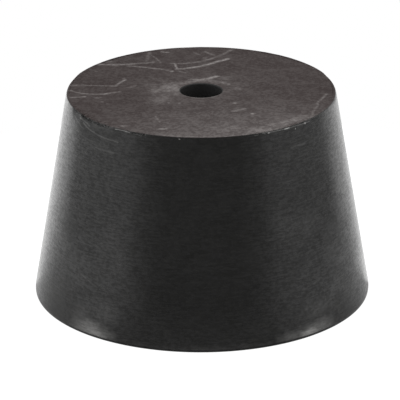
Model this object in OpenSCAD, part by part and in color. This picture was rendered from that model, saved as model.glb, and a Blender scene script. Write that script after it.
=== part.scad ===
// Tapered rubber stopper with a straight hole through its axis.
// It stands on its wide end: the origin is the centre of that face, and +Z runs up the axis
// to the narrow end. Lengths are in millimetres.

/* [Body] */
// Diameter of the wide end, measured over its rounded edge
wide_d = 41; // [34:0.5:60]
// Diameter of the narrow end, measured over its rounded edge
narrow_d = 32.5; // [20:0.5:40.5]
// Height from one end face to the other
height = 25.4; // [10:0.1:60]

/* [Hole] */
// Diameter of the hole that takes a glass tube or the stem of a gauge
hole_d = 5; // [2:0.1:16]

/* [Edges] */
// Radius of the rounded edge around the wide end
wide_edge_r = 0.3; // [0.05:0.05:2]
// Radius of the rounded edge around the narrow end
narrow_edge_r = 0.2; // [0.05:0.05:1.5]
// Radius of the lip at each mouth of the hole
hole_lip_r = 0.15; // [0.05:0.05:1]

/* [Colour] */
// Colour of the rubber
rubber_colour = "#2b2a29"; // [#2b2a29:black, #8a4b3a:red, #5f8f6a:green]

/* [Hidden] */
$fn = 180;

// How far the tapered side lies inside the tangent line of its two rounded edges, so that it
// crosses both arcs instead of only touching them
side_overlap = 0.0002;

hole_r = hole_d / 2;

// Centres of the rounded edges in the half section, as [radius, height]
wide_round = [wide_d / 2 - wide_edge_r, wide_edge_r];
narrow_round = [narrow_d / 2 - narrow_edge_r, height - narrow_edge_r];
low_lip = [hole_r + hole_lip_r, hole_lip_r];
high_lip = [hole_r + hole_lip_r, height - hole_lip_r];

// Outward normal of the line that touches both outer rounds, which is the tapered side
round_to_round = narrow_round - wide_round;
side_angle = atan2(round_to_round[1], round_to_round[0])
    - acos((wide_edge_r - narrow_edge_r) / norm(round_to_round));
side_normal = [cos(side_angle), sin(side_angle)];

// Half section: straight lines from round to round, and the four rounds
module half_section() {
    polygon([
        [hole_r, low_lip[1]],
        [low_lip[0], 0],
        [wide_round[0], 0],
        wide_round + side_normal * (wide_edge_r - side_overlap),
        narrow_round + side_normal * (narrow_edge_r - side_overlap),
        [narrow_round[0], height],
        [high_lip[0], height],
        [hole_r, high_lip[1]]
    ]);
    translate(wide_round) circle(r = wide_edge_r);
    translate(narrow_round) circle(r = narrow_edge_r);
    for (lip = [low_lip, high_lip])
        translate(lip) circle(r = hole_lip_r);
}

// The whole stopper: one solid of revolution
module stopper() {
    color(rubber_colour) rotate_extrude() half_section();
}

stopper();
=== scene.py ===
"""Looks of a bored laboratory rubber stopper: its skin, its wear, and the bench and light around it."""

import logging
import math
from dataclasses import dataclass
from enum import Enum
from typing import Sequence

import bpy
import numpy as np
from mathutils import Euler, Matrix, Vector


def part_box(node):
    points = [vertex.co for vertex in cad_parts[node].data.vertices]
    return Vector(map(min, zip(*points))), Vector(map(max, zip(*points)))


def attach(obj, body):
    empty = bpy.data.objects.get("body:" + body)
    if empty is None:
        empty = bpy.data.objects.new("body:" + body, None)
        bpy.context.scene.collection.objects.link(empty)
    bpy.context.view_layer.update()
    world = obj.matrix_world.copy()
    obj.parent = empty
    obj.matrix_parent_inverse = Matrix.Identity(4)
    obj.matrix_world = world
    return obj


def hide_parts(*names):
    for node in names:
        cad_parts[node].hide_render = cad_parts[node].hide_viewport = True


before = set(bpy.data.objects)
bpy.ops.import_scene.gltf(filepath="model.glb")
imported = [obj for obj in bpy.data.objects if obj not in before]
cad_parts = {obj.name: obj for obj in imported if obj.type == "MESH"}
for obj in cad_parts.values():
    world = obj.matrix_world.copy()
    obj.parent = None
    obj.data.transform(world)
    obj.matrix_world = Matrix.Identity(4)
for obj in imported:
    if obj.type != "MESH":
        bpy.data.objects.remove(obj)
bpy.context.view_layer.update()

NODE = "stopper"
BODY = "root"
PIECE = "stopper_rubber"
MM = 0.001

Point = tuple[float, float]
Colour = tuple[float, float, float, float]

log = logging.getLogger("stopper")


class Region(Enum):
    """The faces of the stopper that are finished differently; each value is the material's index."""

    SIDE = 0
    NARROW_END = 1
    WIDE_END = 2
    HOLE = 3


# --------------------------------------------------------------------------- node helpers


class Wire:
    """One output socket of a node, on which arithmetic adds Math nodes."""

    def __init__(self, sheet: "Sheet", socket: bpy.types.NodeSocket) -> None:
        """Wraps an output socket of a node on the sheet."""
        self.sheet = sheet
        self.socket = socket

    def math(self, operation: str, *others: "Wire | float") -> "Wire":
        """Returns the result of a Math node that has this wire as its first value."""
        return self.sheet.math(operation, self, *others)

    def __add__(self, other: "Wire | float") -> "Wire":
        """Returns self + other."""
        return self.math("ADD", other)

    __radd__ = __add__

    def __sub__(self, other: "Wire | float") -> "Wire":
        """Returns self - other."""
        return self.math("SUBTRACT", other)

    def __rsub__(self, other: float) -> "Wire":
        """Returns other - self."""
        return self.sheet.math("SUBTRACT", other, self)

    def __mul__(self, other: "Wire | float") -> "Wire":
        """Returns self * other."""
        return self.math("MULTIPLY", other)

    __rmul__ = __mul__

    def __truediv__(self, other: "Wire | float") -> "Wire":
        """Returns self / other."""
        return self.math("DIVIDE", other)

    def __pow__(self, other: float) -> "Wire":
        """Returns self to the power other."""
        return self.math("POWER", other)

    def least(self, other: "Wire | float") -> "Wire":
        """Returns the smaller of the two."""
        return self.math("MINIMUM", other)

    def most(self, other: "Wire | float") -> "Wire":
        """Returns the larger of the two."""
        return self.math("MAXIMUM", other)

    def clamped(self) -> "Wire":
        """Returns self kept between 0 and 1."""
        return self.most(0.0).least(1.0)

    def step(self, low: float, high: float) -> "Wire":
        """Smooth step.

        Args:
            low: where the result is 0.
            high: where the result is 1; it may be below low.

        Returns:
            0 to 1, with a soft start and end.
        """
        if low > high:
            return 1.0 - self.step(high, low)
        return self.sheet.add(
            "ShaderNodeMapRange",
            {"interpolation_type": "SMOOTHSTEP", "clamp": False},
            {"Value": self, "From Min": low, "From Max": high},
        )


Settings = dict[str, object]
Sockets = dict[int | str, Wire | float | Sequence[float]]


class Sheet:
    """The node tree of a material or of the world, filled by calls."""

    def __init__(self, owner: bpy.types.Material | bpy.types.World) -> None:
        """Empties the owner's tree.

        Args:
            owner: the material or world.
        """
        owner.use_nodes = True
        self.tree = owner.node_tree
        self.tree.nodes.clear()

    def node(self, kind: str, settings: Settings, sockets: Sockets) -> bpy.types.Node:
        """Adds one node.

        Args:
            kind: the node's type.
            settings: its properties, set before its sockets.
            sockets: value or Wire of each input, by name or index.

        Returns:
            The node.
        """
        node = self.tree.nodes.new(kind)
        for name, value in settings.items():
            setattr(node, name, value)
        for name, value in sockets.items():
            if isinstance(value, Wire):
                self.tree.links.new(value.socket, node.inputs[name])
            else:
                node.inputs[name].default_value = value
        return node

    def add(self, kind: str, settings: Settings, sockets: Sockets, output: int | str = 0) -> Wire:
        """Adds one node, as node does, and returns its output of that name or index."""
        return Wire(self, self.node(kind, settings, sockets).outputs[output])

    def math(self, operation: str, *values: Wire | float) -> Wire:
        """Returns the result of a Math node."""
        return self.add("ShaderNodeMath", {"operation": operation}, dict(enumerate(values)))

    def vector(self, operation: str, *values: Wire | Sequence[float], output: int = 0) -> Wire:
        """Returns the result of a Vector Math node; output 0 is a vector and output 1 a number."""
        return self.add("ShaderNodeVectorMath", {"operation": operation}, dict(enumerate(values)), output)

    def mix(self, factor: Wire, first: Wire | Sequence[float], second: Wire | Sequence[float]) -> Wire:
        """Returns a mix of two colours; the factor is the share of the second."""
        sockets = {0: factor, 6: first, 7: second}
        return self.add("ShaderNodeMix", {"data_type": "RGBA"}, sockets, 2)

    def object_place(self) -> Wire:
        """Returns the place on the object, in millimetres."""
        place = self.add("ShaderNodeTexCoord", {}, {}, "Object")
        return self.vector("MULTIPLY", place, (1 / MM,) * 3)

    def parts(self, vector: Wire) -> tuple[Wire, Wire, Wire]:
        """Returns the X, Y and Z of a vector."""
        split = self.node("ShaderNodeSeparateXYZ", {}, {0: vector})
        return tuple(Wire(self, socket) for socket in split.outputs)


@dataclass(frozen=True)
class Grain:
    """A soft random pattern; lengths are in millimetres.

    Attributes:
        size: length of its features along X, Y and Z.
        detail: number of finer layers.
        rough: weight of the finer layers.
    """

    size: tuple[float, float, float]
    detail: float = 2.0
    rough: float = 0.5

    def over(self, sheet: Sheet, place: Wire, output: int | str = 0) -> Wire:
        """Reads the pattern.

        Args:
            sheet: the material's nodes.
            place: where it is read, in millimetres.
            output: 0 for one number, "Color" for three.

        Returns:
            The pattern, 0 to 1 and about 0.5 on average.
        """
        scaled = sheet.vector("MULTIPLY", place, tuple(1 / size for size in self.size))
        sockets = {"Vector": scaled, "Scale": 1.0, "Detail": self.detail, "Roughness": self.rough}
        return sheet.add("ShaderNodeTexNoise", {}, sockets, output)


# --------------------------------------------------------------------------- marks


@dataclass(frozen=True)
class Stroke:
    """A scuff drawn through points on a face; lengths are in millimetres.

    Attributes:
        points: where it runs.
        width: half its width.
        tone: how strong it is.
    """

    points: tuple[Point, ...]
    width: float
    tone: float

    def mask(self, sheet: Sheet, place: Wire) -> Wire:
        """Where the stroke lies.

        Args:
            sheet: the material's nodes.
            place: flat place in millimetres, with no third part.

        Returns:
            0 off the stroke, up to tone on it.
        """
        nearest = None
        for start, end in zip(self.points, self.points[1:]):
            run = (end[0] - start[0], end[1] - start[1], 0.0)
            length = math.hypot(run[0], run[1])
            offset = sheet.vector("SUBTRACT", place, (*start, 0.0))
            unit = (run[0] / length**2, run[1] / length**2, 0.0)
            along = sheet.vector("DOT_PRODUCT", offset, unit, output=1).clamped()
            foot = sheet.add("ShaderNodeCombineXYZ", {}, {0: along * run[0], 1: along * run[1]})
            gap = sheet.vector("DISTANCE", offset, foot, output=1)
            nearest = gap if nearest is None else nearest.least(gap)
        return nearest.step(self.width, 0.0) * self.tone


@dataclass(frozen=True)
class Patch:
    """A soft round or oval mark; lengths are in millimetres.

    Attributes:
        centre: its middle.
        size: its half width along each axis.
        tone: how strong it is.
    """

    centre: Point
    size: Point
    tone: float

    def mask(self, sheet: Sheet, place: Wire) -> Wire:
        """Where the patch lies.

        Args:
            sheet: the material's nodes.
            place: flat place in millimetres, with no third part.

        Returns:
            0 off the patch, up to tone in its middle.
        """
        offset = sheet.vector("SUBTRACT", place, (*self.centre, 0.0))
        scaled = sheet.vector("MULTIPLY", offset, (1 / self.size[0], 1 / self.size[1], 0.0))
        return sheet.vector("LENGTH", scaled, output=1).step(1.0, 0.0) * self.tone


Marks = tuple[Stroke | Patch, ...]


def strongest(sheet: Sheet, place: Wire, marks: Marks) -> Wire:
    """Lays several marks over each other.

    Args:
        sheet: the material's nodes.
        place: flat place in millimetres.
        marks: the marks.

    Returns:
        The strongest of them at each place.
    """
    total = marks[0].mask(sheet, place)
    for mark in marks[1:]:
        total = total.most(mark.mask(sheet, place))
    return total


# --------------------------------------------------------------------------- finishes


@dataclass(frozen=True)
class Rubber:
    """What every finish of the stopper shares.

    Attributes:
        name: the material's name.
        dark: colour of clean rubber.
        pale: colour of rubbed or dusty rubber.
        index: refractive index of the bare rubber.
        skin_index: refractive index of the glossy skin over it.
        skin_roughness: roughness of the glossy skin.
    """

    name: str
    dark: Colour = (0.0165, 0.0162, 0.0157, 1.0)
    pale: Colour = (0.385, 0.380, 0.370, 1.0)
    index: float = 1.45
    skin_index: float = 1.5
    skin_roughness: float = 0.26

    def surface(self, sheet: Sheet, tone: Wire, roughness: Wire, height: Wire, depth: float,
                gloss: Wire | float = 0.0) -> None:
        """Adds the shader and joins it to the output.

        Args:
            sheet: the material's nodes.
            tone: share of the pale colour over the surface.
            roughness: roughness over the surface.
            height: relief over the surface, 0 to 1.
            depth: height of that relief, in metres.
            gloss: how much of the glossy skin is left over the surface.
        """
        bump = sheet.add("ShaderNodeBump", {}, {"Strength": 1.0, "Distance": depth, "Height": height})
        sockets = {
            "Base Color": sheet.mix(tone, self.dark, self.pale),
            "Roughness": roughness,
            "Normal": bump,
            "IOR": self.index,
            "Coat Weight": gloss,
            "Coat Roughness": self.skin_roughness,
            "Coat IOR": self.skin_index,
        }
        shader = sheet.add("ShaderNodeBsdfPrincipled", {}, sockets)
        sheet.node("ShaderNodeOutputMaterial", {}, {"Surface": shader})


@dataclass(frozen=True)
class Level:
    """A value that follows a pattern.

    Attributes:
        base: the value where the pattern is 0.
        swing: what is added to it where the pattern is 1.
    """

    base: float
    swing: float

    def over(self, pattern: Wire) -> Wire:
        """Returns the value over the surface."""
        return pattern * self.swing + self.base


@dataclass(frozen=True)
class Drift:
    """A soft random shift of places, so that drawn marks wander; lengths are in millimetres.

    Attributes:
        grain: length of the wander.
        reach: how far places shift.
    """

    grain: float
    reach: float

    def moved(self, sheet: Sheet, place: Wire) -> Wire:
        """Shifts places.

        Args:
            sheet: the material's nodes.
            place: flat place in millimetres.

        Returns:
            The shifted place.
        """
        noise = Grain((self.grain,) * 3, 1.0).over(sheet, place, "Color")
        centred = sheet.vector("SUBTRACT", noise, (0.5, 0.5, 0.5))
        shift = sheet.vector("MULTIPLY", centred, (2 * self.reach, 2 * self.reach, 0.0))
        return sheet.vector("ADD", place, shift)


@dataclass(frozen=True)
class SideFinish(Rubber):
    """Ground taper with fine rings and short drag marks around it.

    Its marks lie at millimetres round the girth from the front, to the right, and millimetres
    above the bench.

    Attributes:
        dark: colour of clean rubber.
        pale: colour of rubbed or dusty rubber, and of the painted reflection and the painted highlights.
        index: refractive index of the bare rubber.
        marks: the scuffs.
        painted_glints: painted highlights, crisp bright lines and specks along the narrow edge where it
            catches the light.
        dust_and_reflection: pale patches low on the side, dust and a painted reflection of the bright bench
            at the foot.
        dulled_and_shaded: patches with less of the skin's shine, worn near the chewed edge, and painted
            shade low on the side at left and right.
        slant: how far the rings rise, and the drag marks fall, to the right, as rise over run.
        rings: pattern of the fine rings.
        drags: pattern of the drag marks.
        pits: pattern of the fine pits.
        clouds: pattern of wide, faint changes.
        blend: shares of the rings, the drag marks and the pits in the fine pattern.
        scuff_drift: how the scuffs wander.
        dust_and_reflection_drift: how the outlines of the dust and the painted reflection wander.
        scuffing: how strong the scuffs are over the clouds.
        sole: millimetres above the bench between which the dust and the painted reflection begin.
        dust_and_reflection_pits: share of the pits in the dust and the painted reflection.
        dust_and_reflection_rings: share of the rings in the dust and the painted reflection.
        painted_glint_base: how strong the painted highlights are where there are no pits.
        laid: how much the scuffs, the dust and the painted reflection pale the rubber.
        haze: how much the fine pattern pales the rubber.
        hazy: values of the fine pattern between which it begins to pale the rubber.
        least_skin: weight of the skin where the patterns add none.
        fine_skin: weight of the skin that the fine pattern adds.
        fine_span: values of the fine pattern between which it adds that weight.
        cloud_skin: weight of the skin that the clouds add.
        cloud_span: values of the clouds between which they add that weight.
        roughness: roughness of the bare rubber over the clouds.
        relief: height of the fine pattern, in metres.
    """

    dark: Colour = (0.0193, 0.0190, 0.0182, 1.0)
    pale: Colour = (0.770, 0.760, 0.740, 1.0)
    index: float = 1.33
    marks: Marks = ()
    painted_glints: Marks = ()
    dust_and_reflection: Marks = ()
    dulled_and_shaded: Marks = ()
    slant: float = 0.05
    rings: Grain = Grain((1.0, 1.0, 0.13), 3.0, 0.6)
    drags: Grain = Grain((1.8, 1.8, 0.17), 3.0, 0.6)
    pits: Grain = Grain((0.45, 0.45, 0.30))
    clouds: Grain = Grain((2.0, 2.0, 2.0), 3.0, 0.55)
    blend: tuple[float, float, float] = (0.35, 0.30, 0.35)
    scuff_drift: Drift = Drift(0.8, 0.12)
    dust_and_reflection_drift: Drift = Drift(1.0, 0.4)
    scuffing: Level = Level(0.3, 1.4)
    sole: tuple[float, float] = (0.16, 0.36)
    dust_and_reflection_pits: float = 0.7
    dust_and_reflection_rings: float = 1.3
    painted_glint_base: float = 0.5
    laid: float = 0.5
    haze: float = 0.006
    hazy: tuple[float, float] = (0.50, 0.72)
    least_skin: float = 0.08
    fine_skin: float = 0.56
    fine_span: tuple[float, float] = (0.41, 0.59)
    cloud_skin: float = 0.20
    cloud_span: tuple[float, float] = (0.30, 0.70)
    roughness: Level = Level(0.18, 0.08)
    relief: float = 0.01 * MM

    def material(self, around: float) -> bpy.types.Material:
        """Makes the material.

        Args:
            around: millimetres of the side's girth per radian of azimuth.

        Returns:
            The material.
        """
        made = bpy.data.materials.new(self.name)
        sheet = Sheet(made)
        place = sheet.object_place()
        across, deep, high = sheet.parts(place)
        rise = across * self.slant
        rising = sheet.add("ShaderNodeCombineXYZ", {}, {0: across, 1: deep, 2: high + rise})
        falling = sheet.add("ShaderNodeCombineXYZ", {}, {0: across, 1: deep, 2: high - rise})
        rings = self.rings.over(sheet, rising)
        drags = self.drags.over(sheet, falling)
        pits = self.pits.over(sheet, place)
        clouds = self.clouds.over(sheet, place)
        fine = rings * self.blend[0] + drags * self.blend[1] + pits * self.blend[2]

        girth = sheet.math("ARCTAN2", across, 0.0 - deep) * around
        flat = sheet.add("ShaderNodeCombineXYZ", {}, {0: girth, 1: high})
        scuffs = strongest(sheet, self.scuff_drift.moved(sheet, flat), self.marks)
        scuffs = scuffs * self.scuffing.over(clouds)
        # dust, and a painted reflection of the bright bench at the foot, drawn into the colour
        dust_and_reflection = strongest(sheet, self.dust_and_reflection_drift.moved(sheet, flat), self.dust_and_reflection)
        dust_and_reflection = dust_and_reflection * (pits * self.dust_and_reflection_pits + rings * self.dust_and_reflection_rings) * high.step(*self.sole)
        # painted highlights along the narrow edge, drawn into the colour
        painted_glints = strongest(sheet, flat, self.painted_glints) * (pits + self.painted_glint_base)
        tone = fine.step(*self.hazy) * self.haze + scuffs.most(dust_and_reflection) * self.laid + painted_glints

        skin = fine.step(*self.fine_span) * self.fine_skin
        skin = skin + clouds.step(*self.cloud_span) * self.cloud_skin + self.least_skin
        # less shine where worn, and painted shade low on the side that darkens its reflections near the
        # foot
        skin = skin * (1 - strongest(sheet, flat, self.dulled_and_shaded))
        self.surface(sheet, tone, self.roughness.over(clouds), fine, self.relief, skin)
        return made


@dataclass(frozen=True)
class EndFinish(Rubber):
    """Matt end face with a fine grain, scuffs and wide pale patches.

    Its marks lie at millimetres from the axis, to the right and to the back.

    Attributes:
        dark: colour of the clean end face.
        pale: colour of the dust and of the pale patches on it.
        marks: the scuffs on it.
        paling: wide pale patches on it, strongest towards the front edge.
        pits: pattern of the fine pits.
        clouds: pattern of the wider changes.
        smears: pattern of the widest, faint changes.
        pitted: share of the pits in the mottling; the clouds have the rest.
        mottled: values of those two between which the mottling sets in.
        haze: how much the mottling pales the rubber.
        smeared: values of the smears between which they set in.
        smear: how much the smears pale the rubber.
        drift: how the scuffs wander.
        paling_strength: how strong the paling is over the mottling.
        scuffing: how strong the scuffs are over the mottling.
        roughness: roughness over the clouds.
        relief: height of the pits, in metres.
    """

    dark: Colour = (0.0245, 0.0123, 0.0108, 1.0)
    pale: Colour = (0.405, 0.375, 0.365, 1.0)
    marks: Marks = ()
    paling: Marks = ()
    pits: Grain = Grain((0.40, 0.40, 0.40), 3.0, 0.65)
    clouds: Grain = Grain((1.6, 1.6, 1.6), 3.0, 0.55)
    smears: Grain = Grain((4.0, 2.6, 4.0), 3.0)
    pitted: float = 0.62
    mottled: tuple[float, float] = (0.40, 0.62)
    haze: float = 0.086
    smeared: tuple[float, float] = (0.35, 0.65)
    smear: float = 0.026
    drift: Drift = Drift(0.9, 0.12)
    paling_strength: Level = Level(0.7, 0.6)
    scuffing: Level = Level(0.65, 0.65)
    roughness: Level = Level(0.64, 0.12)
    relief: float = 0.03 * MM

    def material(self) -> bpy.types.Material:
        """Makes the material.

        Returns:
            The material.
        """
        made = bpy.data.materials.new(self.name)
        sheet = Sheet(made)
        place = sheet.object_place()
        pits = self.pits.over(sheet, place)
        clouds = self.clouds.over(sheet, place)
        flat = sheet.vector("MULTIPLY", place, (1.0, 1.0, 0.0))
        smears = self.smears.over(sheet, place)
        mottle = (pits * self.pitted + clouds * (1 - self.pitted)).step(*self.mottled)
        tone = mottle * self.haze + smears.step(*self.smeared) * self.smear
        if self.paling:
            tone = tone + strongest(sheet, flat, self.paling) * self.paling_strength.over(mottle)
        if self.marks:
            drawn = self.drift.moved(sheet, flat)
            tone = tone + strongest(sheet, drawn, self.marks) * self.scuffing.over(mottle)
        self.surface(sheet, tone, self.roughness.over(clouds), pits, self.relief)
        return made


@dataclass(frozen=True)
class HoleFinish(Rubber):
    """Dull wall of the bored hole, with faint drawing rings.

    Attributes:
        rings: pattern of the drawing rings.
        haze: how much the rings pale the rubber.
        roughness: roughness over the rings.
        relief: height of the rings, in metres.
    """

    rings: Grain = Grain((1.2, 1.2, 0.15))
    haze: float = 0.01
    roughness: Level = Level(0.55, 0.2)
    relief: float = 0.02 * MM

    def material(self) -> bpy.types.Material:
        """Makes the material.

        Returns:
            The material.
        """
        made = bpy.data.materials.new(self.name)
        sheet = Sheet(made)
        rings = self.rings.over(sheet, sheet.object_place())
        self.surface(sheet, rings * self.haze, self.roughness.over(rings), rings, self.relief)
        return made


# --------------------------------------------------------------------------- the stopper


# Marks on the narrow end lie at millimetres from the axis, to the right and to the back. Those on
# the side lie at millimetres round the girth from the front, to the right, and above the bench.
NARROW_END_MARKS: Marks = (
    Stroke(((-15.7, 2.12), (-14.4, 2.12), (-12.8, 1.92), (-10.6, 1.72)), 0.30, 0.27),
    Stroke(((-10.4, 1.82), (-9.9, 2.82), (-9.3, 3.92)), 0.32, 0.40),
    Stroke(((-9.3, 3.92), (-9.4, 4.62)), 0.30, 0.20),
    Stroke(((-15.9, 0.52), (-15.2, -0.38), (-14.5, -0.88), (-12.8, -1.28)), 0.30, 0.26),
    Stroke(((-13.0, -1.23), (-11.6, -1.08), (-10.9, -0.68), (-9.8, -0.43)), 0.34, 0.36),
    Stroke(((-15.5, -2.25), (-14.8, -2.18), (-14.0, -2.05)), 0.36, 0.34),
    Stroke(((-12.6, -2.48), (-12.0, -2.38)), 0.30, 0.26),
    Stroke(((-13.6, 7.82), (-12.8, 7.02)), 0.26, 0.14),
    Patch((-11.8, -3.9), (0.35, 0.45), 0.18),
    Patch((-11.1, -4.7), (0.35, 0.40), 0.17),
    Stroke(((-12.6, 9.7), (-10.8, 9.6), (-9.5, 9.6), (-8.0, 9.9), (-6.8, 10.2), (-6.0, 10.4)), 0.45, 0.30),
    Patch((-10.6, 9.4), (1.3, 0.8), 0.15),
    Patch((-11.3, 10.7), (0.7, 0.7), 0.20),
    Stroke(((-9.0, 9.1), (-7.5, 8.7), (-6.0, 8.2), (-4.8, 7.8), (-4.0, 7.4)), 0.36, 0.26),
    Patch((-3.55, 7.0), (0.40, 0.45), 0.49),
    Stroke(((-6.4, 14.1), (-6.6, 12.5), (-6.7, 11.0)), 0.45, 0.15),
    Stroke(((-6.1, 13.0), (-5.5, 11.8), (-5.0, 10.3)), 0.26, 0.20),
    Stroke(((-4.9, 14.4), (-4.1, 14.1)), 0.36, 0.32),
    Stroke(((-3.25, 9.8), (-3.0, 8.1)), 0.26, 0.53),
    Stroke(((-3.0, 7.9), (-2.1, 7.9), (-1.2, 8.3), (0.0, 8.9)), 0.40, 0.46),
    Stroke(((0.0, 8.9), (1.0, 9.6), (2.0, 10.5), (2.8, 11.1), (3.3, 11.5)), 0.46, 0.53),
    Stroke(((-2.6, 7.1), (-2.0, 6.4)), 0.30, 0.20),
    Stroke(((-3.6, 9.9), (-2.0, 9.9), (-1.0, 10.3), (0.3, 10.7)), 0.42, 0.21),
    Stroke(((0.3, 11.0), (1.2, 11.6), (2.2, 12.7), (2.9, 13.6), (3.8, 15.0)), 0.40, 0.24),
    Stroke(((0.5, 12.0), (0.3, 10.7)), 0.50, 0.16),
    Stroke(((0.6, 14.3), (1.2, 13.4), (1.7, 13.1)), 0.36, 0.17),
    Stroke(((-0.9, 14.2), (-0.2, 13.2)), 0.30, 0.12),
    Stroke(((-1.3, 4.02), (-0.5, 3.92)), 0.42, 0.26),
    Stroke(((-0.3, 3.72), (0.4, 4.02), (1.2, 4.42)), 0.46, 0.44),
    Stroke(((1.2, 4.42), (1.9, 5.12)), 0.52, 0.50),
    Stroke(((-2.2, 2.62), (-1.3, 3.22), (-0.1, 3.62), (1.1, 3.52), (2.1, 3.12), (2.9, 2.52)), 0.75, 0.20),
    Stroke(((2.2, 3.12), (2.8, 2.72), (3.3, 2.22)), 0.42, 0.26),
    Stroke(((-1.9, -1.95), (-1.0, -2.55), (0.0, -2.74), (1.0, -2.55), (1.9, -1.95)), 0.14, 0.26),
    Stroke(((-6.0, 4.6), (-4.6, 3.4)), 0.70, 0.10),
    Patch((-3.6, 0.7), (2.2, 3.4), 0.30),
    Patch((-5.4, 0.2), (1.6, 2.2), 0.20),
    Patch((-3.2, -0.8), (0.9, 1.6), 0.20),
    Stroke(((-8.8, 1.1), (-7.9, 1.9)), 0.34, 0.20),
    Patch((4.4, 0.6), (0.8, 0.9), 0.18),
    Patch((4.0, -4.6), (0.36, 0.45), 0.33),
    Stroke(((3.8, -7.3), (4.6, -6.9), (5.1, -6.6)), 0.44, 0.33),
    Patch((6.0, -8.3), (0.36, 0.42), 0.40),
    Patch((-3.9, -4.4), (0.26, 0.50), 0.30),
    Patch((-2.6, -4.5), (0.26, 0.40), 0.21),
    Stroke(((-5.4, -9.0), (-4.9, -10.8)), 0.22, 0.14),
    Stroke(((14.0, -4.08), (13.6, -6.28), (13.2, -7.98), (13.0, -9.48)), 0.30, 0.17),
    Stroke(((14.2, -3.68), (14.6, -2.58), (15.0, -1.58)), 0.30, 0.20),
    Stroke(((-5.6, -15.0), (-2.9, -15.74), (0.0, -16.0), (2.9, -15.74), (5.6, -15.0)), 0.26, 0.12),
    Patch((-8.9, -12.2), (0.8, 0.5), 0.33),
    Patch((-4.4, -13.3), (0.9, 0.5), 0.28),
)
# Wide pale patches on the narrow end, strongest towards its front edge.
NARROW_END_PALING: Marks = (
    Patch((7.0, -20.0), (30.0, 22.0), 0.20),
    Stroke(((8.4, -12.3), (10.3, -11.2), (12.0, -9.5)), 1.5, 0.32),
    Patch((7.8, -14.2), (6.2, 3.8), 0.34),
    Patch((8.6, -10.6), (3.4, 2.0), 0.22),
    Patch((3.0, -13.4), (6.0, 3.0), 0.24),
    Patch((0.5, 0.5), (10.0, 9.0), 0.08),
    Patch((-4.7, -3.2), (2.6, 3.6), 0.17),
    Patch((-6.2, 2.2), (1.6, 1.4), 0.12),
    Patch((3.0, 4.2), (1.6, 2.3), 0.13),
)
SIDE_MARKS: Marks = (
    Stroke(((-18.7, 24.35), (-17.8, 24.18), (-16.3, 23.97), (-15.1, 23.84), (-13.7, 23.74), (-11.6, 23.74)),
           0.16, 0.19),
    Stroke(((-20.2, 25.0), (-19.3, 24.74), (-18.4, 24.6), (-17.2, 24.48)), 0.13, 0.16),
    Stroke(((-21.4, 24.6), (-20.0, 24.1), (-18.4, 23.7)), 0.16, 0.10),
    Stroke(((-15.4, 22.3), (-12.2, 22.3)), 0.18, 0.09),
    Stroke(((-21.0, 23.4), (-18.5, 22.8)), 0.16, 0.06),
    Stroke(((-18.3, 21.2), (-15.9, 20.9)), 0.16, 0.05),
    Stroke(((-12.9, 19.6), (-10.4, 19.7)), 0.16, 0.05),
    Stroke(((12.5, 22.8), (15.1, 22.8)), 0.18, 0.09),
    Stroke(((10.6, 18.9), (13.0, 19.0)), 0.16, 0.05),
    Stroke(((8.0, 12.6), (10.4, 12.8)), 0.16, 0.05),
    Stroke(((-15.4, 6.9), (-12.8, 6.1)), 0.18, 0.08),
    Stroke(((12.0, 5.8), (14.6, 6.3)), 0.18, 0.06),
    Patch((-19.6, 24.7), (0.35, 0.16), 0.40),
)
# Painted highlights: bright lines and specks where the narrow edge catches the light, drawn into the side's
# colour.
SIDE_PAINTED_GLINTS: Marks = (
    Stroke(((8.3, 25.24), (9.8, 25.19), (12.0, 25.16), (13.4, 25.14)), 0.080, 0.24),
    Stroke(((13.4, 25.14), (15.0, 25.10), (16.4, 25.06)), 0.070, 0.20),
    Stroke(((-12.3, 25.13), (-11.9, 25.20), (-10.9, 25.21), (-10.4, 25.20), (-9.9, 25.14)), 0.080, 0.30),
    Patch((12.15, 25.16), (0.85, 0.11), 0.85),
    Patch((9.25, 25.15), (0.26, 0.12), 0.80),
    Patch((15.5, 25.07), (0.14, 0.16), 1.30),
    Patch((13.6, 24.84), (0.14, 0.12), 0.50),
    Patch((-10.5, 25.2), (0.30, 0.09), 0.50),
    Patch((-2.9, 25.1), (0.16, 0.12), 0.40),
)
# Pale patches low on the side: dust, and a painted reflection of the bright bench at the foot, left and
# right of the front.
SIDE_DUST_AND_PAINTED_REFLECTION: Marks = (
    Patch((-12.9, 0.6), (4.2, 2.0), 0.56),
    Patch((-14.6, 1.8), (2.8, 2.2), 0.12),
    Patch((-12.3, 0.5), (2.6, 1.1), 0.78),
    Patch((13.3, 0.5), (3.8, 1.8), 0.44),
    Patch((12.4, 0.5), (2.4, 0.9), 0.98),
    Patch((10.2, 0.5), (2.9, 1.2), 0.30),
    Patch((0.0, 0.2), (17.0, 0.8), 0.06),
    Patch((12.0, 13.4), (5.0, 3.2), 0.05),
    Patch((13.2, 12.4), (2.6, 1.6), 0.03),
    Patch((-11.0, 10.5), (3.5, 4.5), 0.04),
    Patch((-11.3, 3.2), (2.8, 2.4), 0.08),
    Patch((13.4, 2.8), (3.4, 2.3), 0.07),
)
# Less shine: worn patches near the chewed edge, and two wide patches low at left and right that are painted
# shade, darkening the side's reflections near the foot.
SIDE_DULLED_AND_PAINTED_SHADE: Marks = (
    Patch((-18.2, 24.4), (4.2, 2.2), 0.85),
    Patch((-14.5, 24.2), (4.0, 1.2), 0.40),
    Patch((-19.5, 0.5), (8.0, 10.0), 0.75),
    Patch((19.5, 0.5), (7.0, 4.5), 0.55),
)


@dataclass
class Run:
    """A stretch of the section that is turned round the axis.

    Attributes:
        region: the face it makes.
        points: radius and height of each ring, in metres.
    """

    region: Region
    points: list[Point]


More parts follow.
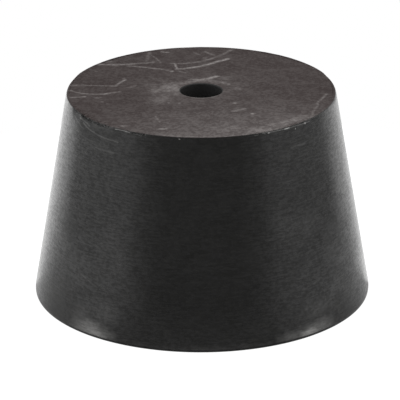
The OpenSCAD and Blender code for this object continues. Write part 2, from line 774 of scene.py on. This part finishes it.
class Ripple:
    """Smooth seeded noise over the stopper's skin."""

    def __init__(self, seed: int, turns: tuple[int, int], climb: float, waves: int = 24) -> None:
        """Draws the waves.

        Args:
            seed: seed of the random draw.
            turns: fewest and most waves round the girth.
            climb: steepest wave along the section, in radians per metre.
            waves: number of waves.
        """
        draw = np.random.default_rng(seed)
        self.turns = draw.integers(turns[0], turns[1], waves)
        self.climb = draw.uniform(-climb, climb, waves)
        self.phase = draw.uniform(0.0, 2 * math.pi, waves)

    def at(self, azimuth: np.ndarray, along: np.ndarray) -> np.ndarray:
        """Reads the noise.

        Args:
            azimuth: angle from the front, in radians.
            along: distance along the section, in metres.

        Returns:
            The noise, mostly between -1 and 1.
        """
        total = np.zeros(np.broadcast(azimuth, along).shape)
        for turns, climb, phase in zip(self.turns, self.climb, self.phase):
            total += np.cos(turns * azimuth + climb * along + phase)
        return total * math.sqrt(1 / len(self.turns))


@dataclass(frozen=True)
class Bite:
    """A small piece torn out near the narrow end's edge; lengths are in metres.

    Attributes:
        azimuth: angle of its middle from the front, in degrees, to the right.
        down: how far below the edge its middle lies.
        length: half its length round the edge.
        width: half its width down the side.
        depth: how deep it goes.
    """

    azimuth: float
    down: float
    length: float
    width: float
    depth: float


@dataclass(frozen=True)
class Span:
    """A stretch of the edge, between two angles from the front in degrees, with soft ends.

    Attributes:
        start: where it begins.
        end: where it ends.
        share: how strong it is.
        fade: how long each soft end is.
    """

    start: float
    end: float
    share: float
    fade: float

    def at(self, degrees: np.ndarray) -> np.ndarray:
        """Reads the span.

        Args:
            degrees: angles from the front, between -180 and 180.

        Returns:
            Its strength at each angle, 0 off the span and up to its share on it.
        """
        rise = np.clip((degrees - self.start) / self.fade, 0.0, 1.0)
        fall = np.clip((self.end - degrees) / self.fade, 0.0, 1.0)
        return self.share * rise * rise * (3 - 2 * rise) * fall * fall * (3 - 2 * fall)


@dataclass
class Stopper:
    """The rubber plug, as one closed mesh turned round its axis; lengths are in metres.

    Attributes:
        wide_radius: radius of the wide end.
        height: height of the stopper.
        narrow_radius: radius of the narrow end.
        hole_radius: radius of the hole.
        wide_edge: radius of the rounded edge of the wide end.
        narrow_edge: radius of the rounded edge of the narrow end.
        hole_lip: radius of the rounded edge at each mouth of the hole.
        fin_rise: how far the fin along the narrow edge stands above the end face.
        fin_width: width of the fin's crest.
        fin_wall: points of the fin's inner wall, as shares of its rise: in from the crest, and up
            from the end face.
        groove: depth of the groove inside the fin.
        groove_width: width of the groove's floor.
        bank: width of the slope on the groove's inner side.
        shore: width of the end face's first ring inside that slope.
        heel: how far above the wide end's rounded edge the side has a ring of its own.
        wear_reach: how far below the narrow edge the rings lie close together, and half as far
            inside it.
        roll: how far the chewed edge is pushed in.
        roll_reach: how far that reaches over the end face and down the side.
        roll_waver: share of the roll that changes along the edge.
        ragged: how far the chewed edge goes in and out.
        ease: how far the eased edge is pushed in.
        tear_reach: how far the ragged and the eased edge reach from its corner.
        bite_ragged: how far the bites' outlines wander, round the edge and down the side.
        deepest: most that the edge may be pushed in.
        inwards: direction in which it is pushed, as parts along the radius and the height.
        fin_waver: how much the fin's strength changes along the edge.
        segments: number of segments round the axis.
        crowded: stretches with more segments; the share is how many are added for each one.
        chewed: the chewed stretch of the edge.
        fins: stretches where the fin stands.
        eased: stretches where the edge is worn down a little.
        bites: the small tears.
    """

    wide_radius: float
    height: float
    narrow_radius: float = 16.25 * MM
    hole_radius: float = 2.5 * MM
    wide_edge: float = 0.3 * MM
    narrow_edge: float = 0.2 * MM
    hole_lip: float = 0.15 * MM
    fin_rise: float = 0.05 * MM
    fin_width: float = 0.10 * MM
    fin_wall: tuple[Point, ...] = ((0.0, 1.0), (0.045, 0.88), (0.255, 0.12), (0.42, 0.0))
    groove: float = 0.06 * MM
    groove_width: float = 0.08 * MM
    bank: float = 0.036 * MM
    shore: float = 0.05 * MM
    heel: float = 0.1 * MM
    wear_reach: float = 1.5 * MM
    roll: float = 0.22 * MM
    roll_reach: tuple[float, float] = (0.35 * MM, 0.70 * MM)
    roll_waver: float = 0.3
    ragged: float = 0.07 * MM
    ease: float = 0.08 * MM
    tear_reach: float = 0.25 * MM
    bite_ragged: tuple[float, float] = (0.10 * MM, 0.05 * MM)
    deepest: float = 0.5 * MM
    inwards: Point = (-0.66, -0.75)
    fin_waver: float = 0.25
    segments: int = 960
    crowded: tuple[Span, ...] = (Span(-84.0, -20.0, 1.6, 6.0), Span(18.0, 52.0, 0.8, 6.0))
    chewed: Span = Span(-72.0, -38.0, 1.0, 8.0)
    fins: tuple[Span, ...] = (
        Span(-153.0, -120.0, 0.9, 12.0),
        Span(-108.0, -82.0, 0.6, 10.0),
        Span(-38.5, -29.5, 0.8, 1.5),
        Span(19.0, 50.0, 1.0, 3.0),
        Span(78.0, 108.0, 0.6, 10.0),
        Span(124.0, 158.0, 0.9, 10.0),
    )
    eased: tuple[Span, ...] = (
        Span(-181.0, -168.0, 0.3, 8.0),
        Span(-114.0, -82.0, 1.0, 8.0),
        Span(70.0, 114.0, 1.0, 6.0),
        Span(172.0, 181.0, 0.3, 8.0),
    )
    bites: tuple[Bite, ...] = (
        Bite(-66.8, 0.12 * MM, 0.70 * MM, 0.12 * MM, 0.12 * MM),
        Bite(-59.4, 0.20 * MM, 0.42 * MM, 0.20 * MM, 0.18 * MM),
        Bite(-57.0, 0.16 * MM, 0.26 * MM, 0.14 * MM, 0.12 * MM),
        Bite(-54.3, 0.24 * MM, 0.48 * MM, 0.19 * MM, 0.16 * MM),
        Bite(-50.3, 0.18 * MM, 0.36 * MM, 0.14 * MM, 0.14 * MM),
        Bite(-47.6, 0.26 * MM, 0.42 * MM, 0.15 * MM, 0.14 * MM),
        Bite(-45.2, 0.30 * MM, 0.30 * MM, 0.12 * MM, 0.10 * MM),
        Bite(-27.3, 0.20 * MM, 0.70 * MM, 0.11 * MM, 0.14 * MM),
        Bite(-24.0, 0.08 * MM, 0.25 * MM, 0.10 * MM, 0.08 * MM),
        Bite(23.5, 0.14 * MM, 0.35 * MM, 0.12 * MM, 0.10 * MM),
        Bite(27.5, 0.14 * MM, 0.25 * MM, 0.10 * MM, 0.08 * MM),
        Bite(46.5, 0.16 * MM, 0.35 * MM, 0.14 * MM, 0.09 * MM),
    )

    def side_angle(self) -> float:
        """Works out how far the side's outward normal points above the horizontal.

        Returns:
            The angle, in radians.
        """
        run = (self.wide_radius - self.wide_edge) - (self.narrow_radius - self.narrow_edge)
        rise = self.height - self.wide_edge - self.narrow_edge
        lean = math.asin((self.wide_edge - self.narrow_edge) / math.hypot(run, rise))
        return math.atan2(run, rise) + lean

    @staticmethod
    def arc(centre: Point, radius: float, start: float, end: float, rings: int) -> list[Point]:
        """Returns points along a round; directions are in radians above the outward horizontal."""
        angles = np.linspace(start, end, rings)
        return [(centre[0] + radius * math.cos(a), centre[1] + radius * math.sin(a)) for a in angles]

    @staticmethod
    def line(start: Point, end: Point, rings: int) -> list[Point]:
        """Returns evenly spaced points between two others, with neither of them."""
        shares = np.linspace(0.0, 1.0, rings + 2)[1:-1]
        return [(start[0] + (end[0] - start[0]) * t, start[1] + (end[1] - start[1]) * t) for t in shares]

    def fin(self) -> list[Point]:
        """Draws the fin's inner wall, from its crest down to the end face.

        Returns:
            Radius and height of each point; the last is the outer edge of the groove's floor.
        """
        crest = self.narrow_radius - self.narrow_edge - self.fin_width
        face = self.height - self.fin_rise
        return [(crest - near * self.fin_rise, face + up * self.fin_rise) for near, up in self.fin_wall]

    def section(self) -> list[Run]:
        """Draws the closed section, from the wide end's hole edge out, up, in and down the hole.

        Returns:
            The section, face by face.
        """
        quarter = math.pi / 2
        tilt = self.side_angle()
        down = (math.sin(tilt), -math.cos(tilt))
        face = self.height - self.fin_rise
        base_centre = (self.wide_radius - self.wide_edge, self.wide_edge)
        base = self.arc(base_centre, self.wide_edge, -quarter, tilt, rings=8)
        rim_centre = (self.narrow_radius - self.narrow_edge, self.height - self.narrow_edge)
        rim = self.arc(rim_centre, self.narrow_edge, tilt, quarter, rings=7)
        lip_centre = (self.hole_radius + self.hole_lip, face - self.hole_lip)
        lip = self.arc(lip_centre, self.hole_lip, quarter, 2 * quarter, rings=5)
        foot_centre = (self.hole_radius + self.hole_lip, self.hole_lip)
        foot = self.arc(foot_centre, self.hole_lip, 2 * quarter, 3 * quarter, rings=4)

        heel = (base[-1][0] - self.heel * down[0], base[-1][1] - self.heel * down[1])
        waist = (rim[0][0] + self.wear_reach * down[0], rim[0][1] + self.wear_reach * down[1])
        side = base + [heel] + self.line(heel, waist, rings=8)
        side = side + [waist] + self.line(waist, rim[0], rings=19) + rim[:2]

        fin = self.fin()
        trough = (fin[-1][0] - self.groove_width, face)
        bank = (trough[0] - self.bank, face)
        shore = (bank[0] - self.shore, face)
        inner = (shore[0] - self.wear_reach / 2, face)
        end = rim[2:] + fin + [trough, bank, shore] + self.line(shore, inner, rings=6)
        end = end + [inner] + self.line(inner, lip[0], rings=5)
        return [
            Run(Region.WIDE_END, [foot[-1]] + self.line(foot[-1], base[0], rings=3)),
            Run(Region.SIDE, side),
            Run(Region.NARROW_END, end),
            Run(Region.HOLE, lip + self.line(lip[-1], foot[0], rings=3) + foot[:-1]),
        ]

    def azimuths(self) -> np.ndarray:
        """Spaces the segments round the axis, closer where the edge is torn.

        Returns:
            Their angles from the front, in radians.
        """
        tenths = 10 * 360
        turn = np.linspace(-180.0, 180.0, tenths + 1)
        crowd = 1.0 + sum(span.at(turn) for span in self.crowded)
        count = np.concatenate([[0.0], np.cumsum((crowd[1:] + crowd[:-1]) / 2)])
        spots = np.linspace(0.0, count[-1], self.segments, endpoint=False)
        return np.radians(np.interp(spots, count, turn))

    def pushed_in(self, degrees: np.ndarray, along: np.ndarray, rough: np.ndarray,
                  slow: np.ndarray) -> np.ndarray:
        """Works out how far the edge is chewed, eased and torn in.

        Args:
            degrees: angle of every segment from the front.
            along: distance of every ring from the edge, inwards above 0 and down the side below.
            rough: fine noise over the edge.
            slow: wide noise over the edge.

        Returns:
            The depth at every point, in metres.
        """
        reach = np.where(along > 0.0, *self.roll_reach)
        rolled = np.exp(-((along / reach) ** 2)) * self.roll
        rolled = rolled * (1 - self.roll_waver + self.roll_waver * slow)
        torn = np.exp(-((along / self.tear_reach) ** 2))
        depth = self.chewed.at(degrees) * (rolled + torn * self.ragged * rough)
        depth = depth + sum(span.at(degrees) for span in self.eased) * self.ease * torn
        for bite in self.bites:
            spread = (degrees - bite.azimuth) * math.radians(1.0) * self.narrow_radius
            across = (spread + self.bite_ragged[0] * rough) / bite.length
            drop = (along + bite.down + self.bite_ragged[1] * slow) / bite.width
            depth = depth + bite.depth * np.sqrt(np.clip(1.0 - across**2 - drop**2, 0.0, 1.0))
        return np.clip(depth, 0.0, self.deepest)

    def worn(self, rings: np.ndarray, azimuth: np.ndarray) -> np.ndarray:
        """Lowers, rolls and tears the narrow end's edge.

        Args:
            rings: radius and height of every ring, in metres.
            azimuth: angle of every segment from the front, in radians.

        Returns:
            Radius and height of every point, ring by ring.
        """
        degrees = np.degrees(azimuth)[None, :]
        gap = np.array([self.narrow_radius, self.height]) - rings
        below = np.maximum(gap[:, 1] - self.fin_rise, 0.0)
        inside = np.maximum(gap[:, 0] - self.narrow_edge, 0.0)
        inside = np.where(gap[:, 1] > 2 * self.narrow_edge, 0.0, inside)
        along = (inside - below)[:, None]
        rough = Ripple(seed=3, turns=(90, 420), climb=9000.0).at(azimuth[None, :], along)
        slow = Ripple(seed=5, turns=(14, 70), climb=1500.0).at(azimuth[None, :], along)

        depth = self.pushed_in(degrees, along, rough, slow)
        moved = rings[:, None, :] + depth[:, :, None] * np.array(self.inwards)

        raised = sum(span.at(degrees) for span in self.fins)
        raised = np.clip(raised * (1.0 + self.fin_waver * slow), 0.0, 1.0)
        face = self.height - self.fin_rise
        over = np.clip((rings[:, 1] - face) / self.fin_rise, 0.0, 1.0)[:, None]
        moved[:, :, 1] -= over * (1 - raised) * self.fin_rise

        slack = 0.002 * MM
        outer = self.fin()[-1][0]
        sunk = (rings[:, 0] < outer + slack) & (rings[:, 0] > outer - self.groove_width - slack)
        sunk &= rings[:, 1] > face - slack
        moved[:, :, 1] -= sunk[:, None] * raised * self.groove
        return moved

    def build(self) -> bpy.types.Object:
        """Turns the section into a mesh object.

        Returns:
            The object, standing where the CAD node stands.
        """
        runs = self.section()
        rings = np.array([point for run in runs for point in run.points])
        region = np.concatenate([[run.region.value] * len(run.points) for run in runs])
        azimuth = self.azimuths()
        moved = self.worn(rings, azimuth)
        radius, high = moved[:, :, 0], moved[:, :, 1]
        places = np.stack([radius * np.sin(azimuth), -radius * np.cos(azimuth), high], axis=2)
        ring, step = np.meshgrid(np.arange(len(rings)), np.arange(self.segments), indexing="ij")
        up = (ring + 1) % len(rings)
        on = (step + 1) % self.segments
        corners = ((ring, step), (ring, on), (up, on), (up, step))
        faces = np.stack([(row * self.segments + turn).reshape(-1) for row, turn in corners], axis=1)
        mesh = bpy.data.meshes.new(PIECE)
        mesh.from_pydata(places.reshape(-1, 3).tolist(), [], faces.tolist())
        mesh.polygons.foreach_set("material_index", np.repeat(region, self.segments).astype(np.int32))
        mesh.polygons.foreach_set("use_smooth", np.ones(len(faces), dtype=bool))
        mesh.update()
        piece = bpy.data.objects.new(PIECE, mesh)
        bpy.context.scene.collection.objects.link(piece)
        return piece

    def dress(self, piece: bpy.types.Object) -> None:
        """Gives each face its finish.

        Args:
            piece: the stopper's object.
        """
        around = (self.wide_radius + self.narrow_radius) / 2 / MM
        side = SideFinish(
            "rubber_side", marks=SIDE_MARKS, painted_glints=SIDE_PAINTED_GLINTS, dust_and_reflection=SIDE_DUST_AND_PAINTED_REFLECTION, dulled_and_shaded=SIDE_DULLED_AND_PAINTED_SHADE
        )
        narrow_end = EndFinish("rubber_narrow_end", marks=NARROW_END_MARKS, paling=NARROW_END_PALING)
        finishes = {
            Region.SIDE: side.material(around),
            Region.NARROW_END: narrow_end.material(),
            Region.WIDE_END: EndFinish("rubber_wide_end").material(),
            Region.HOLE: HoleFinish("rubber_hole").material(),
        }
        for region in Region:
            piece.data.materials.append(finishes[region])


# --------------------------------------------------------------------------- bench, light and camera


@dataclass(frozen=True)
class Round:
    """Brightness all round the stopper, as a share of white.

    Attributes:
        front: brightness towards the camera.
        sides: brightness to the left and right.
        back: brightness behind.
        turn: how far back a direction points where the sides end and the back begins, -1 to 1.
        ahead: how far back it points where the sides end and the front begins.
        tilt: how much dimmer the back is right of the middle than left of it.
        middle: how far right a direction points where that change ends; it begins as far left.
        swing: how much brighter the back grows towards the right, from the middle outwards.
    """

    front: float
    sides: float
    back: float
    turn: tuple[float, float] = (0.35, 0.62)
    ahead: tuple[float, float] = (-0.43, -0.87)
    tilt: float = 0.0
    middle: float = 0.3
    swing: float = 0.0

    def towards(self, across: Wire, deep: Wire, lean: float) -> Wire:
        """Brightness of a direction.

        Args:
            across: how far right it points, -1 to 1.
            deep: how far back it points, -1 to 1.
            lean: how much dimmer the right is, and brighter the left, than the middle.

        Returns:
            The brightness.
        """
        ahead = deep.step(*self.ahead)
        behind = deep.step(*self.turn)
        beside = (ahead * (self.front - self.sides) + self.sides) * (1 - across * lean)
        fall = across.step(-self.middle, self.middle) * self.tilt
        back = self.back + self.tilt / 2 - fall + across * self.swing
        return beside * (1 - behind) + back * behind


def backdrop_rays(sheet: Sheet) -> Wire:
    """Returns 1 for rays that see the backdrop straight or through something, else 0."""
    path = sheet.node("ShaderNodeLightPath", {}, {})
    return Wire(sheet, path.outputs["Is Camera Ray"]).most(Wire(sheet, path.outputs["Is Transmission Ray"]))


@dataclass
class Bench:
    """Small round table top under the stopper; lengths are in metres.

    Attributes:
        foot: radius of the stopper's foot.
        foot_edge: radius of the foot's rounded edge.
        radius: radius of the table top.
        segments: number of its corners.
        paint: its colour.
        seen: what is added to its colour where it is seen straight.
        mirrored: its brightness where the stopper's skin mirrors it.
        lean: how much dimmer it is mirrored on the right, and brighter on the left.
        skew: how much further back a place counts on the left, and less far back on the right.
        close: distances behind the axis between which the right comes to count as the left does.
        painted_contact_shadow: distances outside the foot between which its painted contact shadow, a dark
            line round the foot, ends.
        dimmed: distances outside the foot between which its mirrored brightness begins; inside them it is a
            painted shadow in the stopper's reflections.
        blunt: a short distance that keeps directions beside the foot defined.
    """

    foot: float
    foot_edge: float
    radius: float = 60 * MM
    segments: int = 128
    paint: Colour = (0.35, 0.35, 0.35, 1.0)
    seen: float = 0.90
    mirrored: Round = Round(front=0.07, sides=0.38, back=0.91, turn=(0.45, 1.02), tilt=0.58, swing=0.35)
    lean: float = 0.12
    skew: float = 0.08
    close: tuple[float, float] = (16 * MM, 4 * MM)
    painted_contact_shadow: tuple[float, float] = (-0.10 * MM, 0.03 * MM)
    dimmed: tuple[float, float] = (0.0, 0.12 * MM)
    blunt: float = 0.1 * MM

    def build(self) -> bpy.types.Object:
        """Makes the table top.

        Returns:
            The object.
        """
        turn = np.linspace(0.0, 2 * math.pi, self.segments, endpoint=False)
        rim = [(self.radius * math.cos(a), self.radius * math.sin(a), 0.0) for a in turn]
        mesh = bpy.data.meshes.new("bench")
        mesh.from_pydata(rim, [], [list(range(self.segments))])
        mesh.update()
        piece = bpy.data.objects.new("bench", mesh)
        bpy.context.scene.collection.objects.link(piece)
        return piece

    def outside(self, reach: Wire, gaps: tuple[float, float]) -> Wire:
        """Returns a smooth step between two distances outside the foot; reach is in millimetres."""
        return reach.step((self.foot + gaps[0]) / MM, (self.foot + gaps[1]) / MM)

    def mirror(self, sheet: Sheet, place: Wire) -> Wire:
        """Brightness of the table top where the stopper's skin mirrors it.

        A place beside or behind the foot is mirrored by the outermost part of the side, so its
        direction is taken from there where that points further back than from the axis.

        Args:
            sheet: the material's nodes.
            place: place on the table top, in millimetres from the axis.

        Returns:
            The brightness, as a share of white.
        """
        across, deep, _ = sheet.parts(sheet.vector("NORMALIZE", place))
        right, back, _ = sheet.parts(place)
        beside = right.math("ABSOLUTE") - (self.foot - self.foot_edge) / MM
        grazing = back / (beside * beside + back * back + (self.blunt / MM) ** 2) ** 0.5
        near = back.step(self.close[0] / MM, self.close[1] / MM)
        skewed = (across.most(0.0) * near * 2.0 - across) * self.skew
        return self.mirrored.towards(across, deep.most(grazing) + skewed, self.lean)

    def dress(self, piece: bpy.types.Object) -> None:
        """Paints it; seen straight or mirrored it is lifted to the backdrop's white, its shadow kept, and
        round the foot the lift is held off as a painted contact shadow.

        Args:
            piece: the table top.
        """
        made = bpy.data.materials.new("bench_white")
        sheet = Sheet(made)
        place = sheet.object_place()
        reach = sheet.vector("LENGTH", place, output=1)
        glossy = sheet.add("ShaderNodeLightPath", {}, {}, "Is Glossy Ray")
        # round the foot both lifts are held off: a painted contact shadow, seen straight and in the
        # stopper's reflections
        straight = backdrop_rays(sheet) * self.seen * self.outside(reach, self.painted_contact_shadow)
        lift = straight + glossy * self.mirror(sheet, place) * self.outside(reach, self.dimmed)
        paint = sheet.add("ShaderNodeBsdfDiffuse", {}, {"Color": self.paint})
        glow = sheet.add("ShaderNodeEmission", {}, {"Color": lift, "Strength": 1.0})
        both = sheet.add("ShaderNodeAddShader", {}, {0: paint, 1: glow})
        sheet.node("ShaderNodeOutputMaterial", {}, {"Surface": both})
        piece.data.materials.append(made)


@dataclass
class Studio:
    """White room round the bench, darker behind the camera; each strength is a share of white.

    Attributes:
        walls: brightness of the walls.
        ground: brightness of the ground beyond the bench.
        ceiling: what the ceiling adds to the walls' brightness.
        lean: how much dimmer the right is, and brighter the left, than the middle.
        horizon: how far up a direction points where the walls end and the ground begins, -1 to 1.
        overhead: how far up it points where the ceiling begins and where it is full.
    """

    walls: Round = Round(front=0.11, sides=0.88, back=0.46)
    ground: Round = Round(front=0.72, sides=0.20, back=1.08, turn=(0.38, 0.65), tilt=0.20)
    ceiling: float = 0.41
    lean: float = 0.12
    horizon: tuple[float, float] = (-0.06, -0.26)
    overhead: tuple[float, float] = (0.55, 0.95)

    def light(self) -> None:
        """Makes the world."""
        world = bpy.data.worlds.new("studio")
        bpy.context.scene.world = world
        sheet = Sheet(world)
        way = sheet.add("ShaderNodeTexCoord", {}, {}, "Generated")
        across, deep, high = sheet.parts(way)
        walls = self.walls.towards(across, deep, self.lean)
        ground = self.ground.towards(across, deep, self.lean)
        low = high.step(*self.horizon)
        room = walls * (1 - low) + ground * low + high.step(*self.overhead) * self.ceiling
        seen = backdrop_rays(sheet)
        strength = seen + (1 - seen) * room
        back = sheet.add("ShaderNodeBackground", {}, {"Color": (1, 1, 1, 1), "Strength": strength})
        sheet.node("ShaderNodeOutputWorld", {}, {"Surface": back})


@dataclass
class Eye:
    """The camera; lengths are in metres and angles in degrees unless said otherwise.

    Attributes:
        aim: the point that it looks at, near the stopper's middle.
        distance: how far it stands from that point.
        pitch: how far down it looks.
        roll: how far it is turned about its own line of sight.
        lens: focal length, in millimetres.
        sensor: width of the sensor, in millimetres.
        nearest: distance at which its view begins.
        farthest: distance at which its view ends.
    """

    aim: tuple[float, float, float] = (-0.206 * MM, 0.0, 11.15 * MM)
    distance: float = 387.9 * MM
    pitch: float = 21.605
    roll: float = -0.271
    lens: float = 285.9
    sensor: float = 36.0
    nearest: float = 0.05
    farthest: float = 10.0

    def build(self) -> bpy.types.Object:
        """Makes the camera and hands it to the scene.

        Returns:
            The camera.
        """
        data = bpy.data.cameras.new("eye")
        data.lens = self.lens
        data.sensor_width = self.sensor
        data.clip_start = self.nearest
        data.clip_end = self.farthest
        camera = bpy.data.objects.new("eye", data)
        bpy.context.scene.collection.objects.link(camera)
        down = math.radians(self.pitch)
        camera.location = (
            self.aim[0],
            self.aim[1] - self.distance * math.cos(down),
            self.aim[2] + self.distance * math.sin(down),
        )
        tilt = Euler((math.pi / 2 - down, 0.0, 0.0)).to_matrix()
        turn = tilt @ Matrix.Rotation(math.radians(self.roll), 3, "Z")
        camera.rotation_euler = turn.to_euler()
        bpy.context.scene.camera = camera
        return camera


def main() -> None:
    """Builds the stopper, the bench, the light and the camera."""
    logging.basicConfig(level=logging.INFO, format="%(name)s: %(message)s")
    bpy.context.scene.view_settings.view_transform = "Standard"
    low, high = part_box(NODE)
    stopper = Stopper(wide_radius=(high.x - low.x) / 2, height=high.z - low.z)
    piece = stopper.build()
    stopper.dress(piece)
    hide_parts(NODE)
    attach(piece, BODY)
    bench = Bench(foot=stopper.wide_radius, foot_edge=stopper.wide_edge)
    floor = bench.build()
    bench.dress(floor)
    for made in (piece, floor):
        log.info("%s: faces %d, materials %d", made.name, len(made.data.polygons), len(made.data.materials))
    Studio().light()
    Eye().build()


if __name__ == "__main__":
    main()
